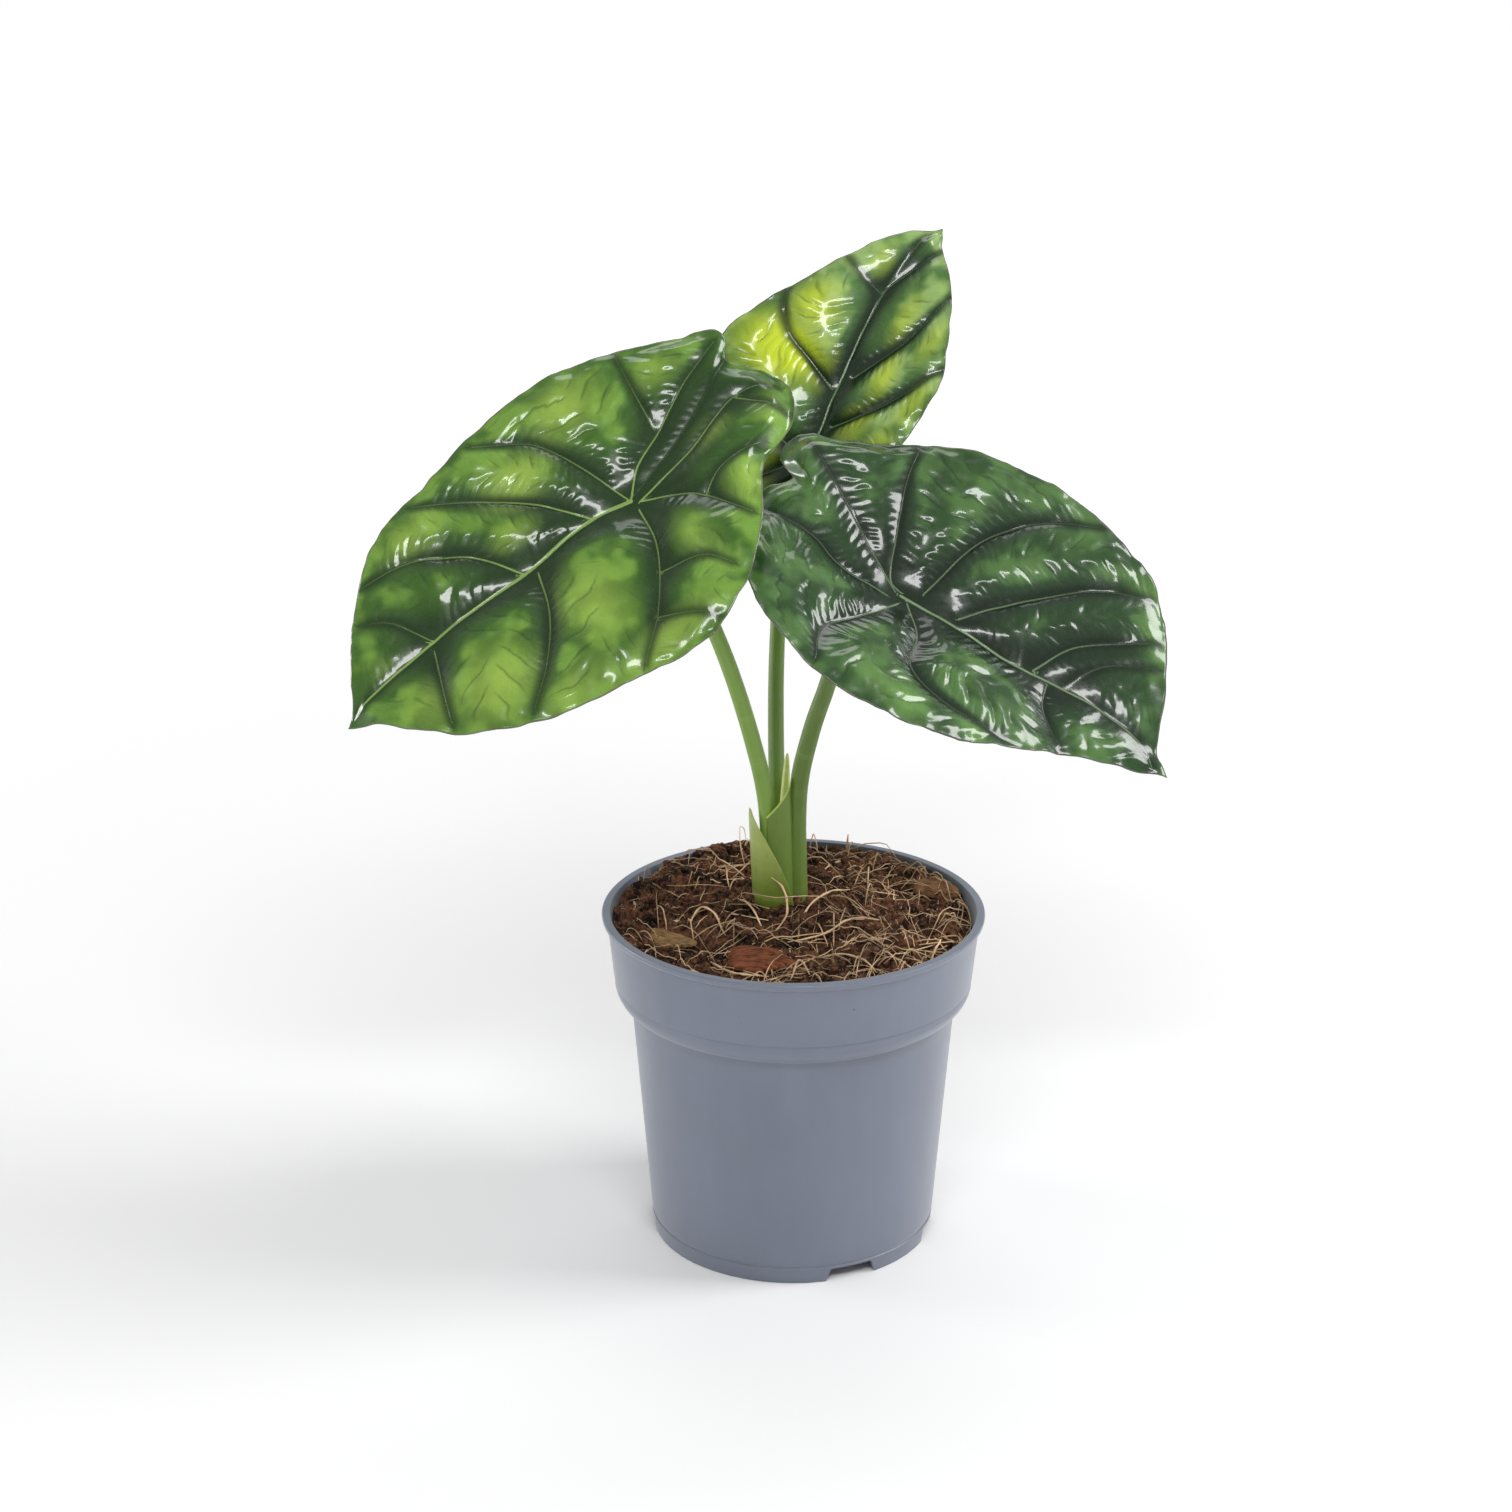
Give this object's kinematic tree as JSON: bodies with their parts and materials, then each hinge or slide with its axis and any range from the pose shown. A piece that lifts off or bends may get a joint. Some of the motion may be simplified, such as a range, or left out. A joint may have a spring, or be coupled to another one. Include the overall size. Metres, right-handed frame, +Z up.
{
  "type": "potted alocasia",
  "caption": "Young alocasia with shield-shaped, strongly veined leaves on bare stalks, growing from coir mix in a plain round nursery pot with drainage notches in its foot.",
  "frame": {"origin": "on the pot's axis, at the flat underside of the round foot pad that the pot rests on", "axes": "+Z is up, away from the surface the pot rests on; -Y is the front, the side the leaves turn their upper faces to; +X is to the right as seen from the front"},
  "size_m": [0.2434, 0.1433, 0.3068],
  "materials": {
    "pot_plastic": "matte",
    "peat": "matte",
    "husk": "matte",
    "coir": "matte",
    "pale_grain": "matte",
    "corm": "matte",
    "stalk": "satin",
    "stalk_dark": "satin",
    "leaf_mid": "satin",
    "leaf_bright": "satin",
    "leaf_dark": "satin",
    "sheath": "satin",
    "shoot": "satin"
  },
  "bodies": {
    "root": {"pot": "pot_plastic", "growing_mix": "peat", "husk_chip_front": "husk", "husk_chip_left": "husk", "husk_chip_right": "husk", "coir_fibre_01": "coir", "coir_fibre_02": "coir", "coir_fibre_03": "coir", "coir_fibre_04": "coir", "coir_fibre_05": "coir", "coir_fibre_06": "coir", "coir_fibre_07": "coir", "coir_fibre_08": "coir", "coir_fibre_09": "coir", "coir_fibre_10": "coir", "coir_fibre_11": "coir", "coir_fibre_12": "coir", "pale_grain_1": "pale_grain", "pale_grain_2": "pale_grain", "corm": "corm", "petiole_left": "stalk", "petiole_back": "stalk", "petiole_right": "stalk_dark", "blade_left": "leaf_mid", "blade_back": "leaf_bright", "blade_right": "leaf_dark", "sheath": "sheath", "new_shoot": "shoot"}
  },
  "joints": []
}
